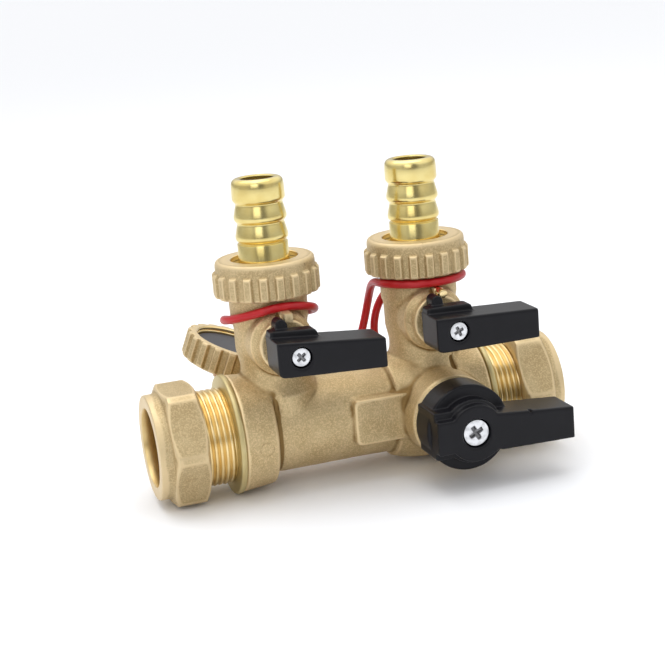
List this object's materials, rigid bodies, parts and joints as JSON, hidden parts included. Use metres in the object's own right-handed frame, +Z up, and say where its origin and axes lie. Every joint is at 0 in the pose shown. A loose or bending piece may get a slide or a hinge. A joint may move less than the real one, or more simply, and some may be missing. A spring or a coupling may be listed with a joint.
{
  "type": "fill and flush valve",
  "caption": "Brass in-line ball valve for pipe with side branches, each with its own lever valve, barbed hose tail and a ribbed cap on a red cord.",
  "frame": {"origin": "centre of the left pipe port, in the mouth of the left compression nut", "axes": "+X along the pipe run to the right port, +Z up along the two branches, the levers face -Y"},
  "size_m": [0.122, 0.0872, 0.0894],
  "materials": {
    "cast_brass": "matte blasted casting",
    "turned_brass": "bright turned",
    "bright_brass": "polished",
    "plated_ball": "polished plating",
    "seat_plastic": "white",
    "black_rubber": "matte",
    "grey_rubber": "matte",
    "black_plastic": "satin",
    "zinc_steel": "bright zinc",
    "red_cord": "soft gloss"
  },
  "bodies": {
    "valve": {"valve_body": "cast_brass", "left_end_adapter": "turned_brass", "right_end_adapter": "turned_brass", "main_seat_left": "seat_plastic", "main_seat_right": "seat_plastic", "left_seat_lower": "seat_plastic", "left_seat_upper": "seat_plastic", "left_seat_retainer": "turned_brass", "left_cap_strap": "red_cord", "left_strap_eye": "red_cord", "right_seat_lower": "seat_plastic", "right_seat_upper": "seat_plastic", "right_seat_retainer": "turned_brass", "right_cap_strap": "red_cord", "right_strap_eye": "red_cord"},
    "main_rotor": {"main_ball": "plated_ball", "main_stem": "turned_brass", "main_stem_seals": "black_rubber", "main_thrust_washer": "seat_plastic", "main_handle": "black_plastic", "main_handle_screw": "zinc_steel"},
    "left_rotor": {"left_ball": "plated_ball", "left_stem": "turned_brass", "left_stem_seals": "black_rubber", "left_handle": "black_plastic", "left_handle_screw": "zinc_steel"},
    "left_tail": {"left_hose_tail": "bright_brass", "left_union_washer": "grey_rubber"},
    "left_union": {"left_union_nut": "cast_brass"},
    "left_ring": {"left_olive": "turned_brass"},
    "left_nut": {"left_compression_nut": "cast_brass"},
    "left_closure": {"left_cap": "cast_brass", "left_cap_washer": "grey_rubber"},
    "right_rotor": {"right_ball": "plated_ball", "right_stem": "turned_brass", "right_stem_seals": "black_rubber", "right_handle": "black_plastic", "right_handle_screw": "zinc_steel"},
    "right_tail": {"right_hose_tail": "bright_brass", "right_union_washer": "grey_rubber"},
    "right_union": {"right_union_nut": "cast_brass"},
    "right_ring": {"right_olive": "turned_brass"},
    "right_nut": {"right_compression_nut": "cast_brass"},
    "right_closure": {"right_cap": "cast_brass", "right_cap_washer": "grey_rubber"}
  },
  "joints": [
    {"name": "main_lever_turn", "type": "hinge", "parent": "valve", "child": "main_rotor", "pos_m": [0.0836, 0, 0], "axis": [0, 1, 0], "range_deg": [0, 90]},
    {"name": "left_lever_turn", "type": "hinge", "parent": "valve", "child": "left_rotor", "pos_m": [0.0382, 0, 0.0271], "axis": [0, -1, 0], "range_deg": [0, 90]},
    {"name": "left_tail_lift", "type": "slide", "parent": "valve", "child": "left_tail", "axis": [0, 0, 1], "range_m": [0, 0.006]},
    {"name": "left_union_turn", "type": "hinge", "parent": "left_tail", "child": "left_union", "pos_m": [0.0382, 0, 0.045], "axis": [0, 0, 1], "range_deg": [0, 1440]},
    {"name": "left_olive_travel", "type": "slide", "parent": "valve", "child": "left_ring", "axis": [-1, 0, 0], "range_m": [0, 0.00675]},
    {"name": "left_nut_turn", "type": "hinge", "parent": "left_ring", "child": "left_nut", "pos_m": [0, 0, 0], "axis": [-1, 0, 0], "range_deg": [0, 1620]},
    {"name": "left_cap_swivel", "type": "hinge", "parent": "valve", "child": "left_closure", "pos_m": [0.0348, 0.0298, 0.0189], "axis": [0.3589, -0.11, 0.9269], "continuous": true},
    {"name": "right_lever_turn", "type": "hinge", "parent": "valve", "child": "right_rotor", "pos_m": [0.0836, 0, 0.0271], "axis": [0, -1, 0], "range_deg": [0, 90]},
    {"name": "right_tail_lift", "type": "slide", "parent": "valve", "child": "right_tail", "axis": [0, 0, 1], "range_m": [0, 0.006]},
    {"name": "right_union_turn", "type": "hinge", "parent": "right_tail", "child": "right_union", "pos_m": [0.0836, 0, 0.045], "axis": [0, 0, 1], "range_deg": [0, 1440]},
    {"name": "right_olive_travel", "type": "slide", "parent": "valve", "child": "right_ring", "axis": [1, 0, 0], "range_m": [0, 0.00675]},
    {"name": "right_nut_turn", "type": "hinge", "parent": "right_ring", "child": "right_nut", "pos_m": [0.122, 0, 0], "axis": [1, 0, 0], "range_deg": [0, 1620]},
    {"name": "right_cap_swivel", "type": "hinge", "parent": "valve", "child": "right_closure", "pos_m": [0.069, 0.035, 0], "axis": [0.1001, 0.3505, 0.9312], "continuous": true}
  ],
  "couplings": [
    {"joint": "left_tail_lift", "follows": "left_union_turn", "m_per_rad": 0.00023873},
    {"joint": "left_olive_travel", "follows": "left_nut_turn", "m_per_rad": 0.00023873},
    {"joint": "right_tail_lift", "follows": "right_union_turn", "m_per_rad": 0.00023873},
    {"joint": "right_olive_travel", "follows": "right_nut_turn", "m_per_rad": 0.00023873}
  ]
}
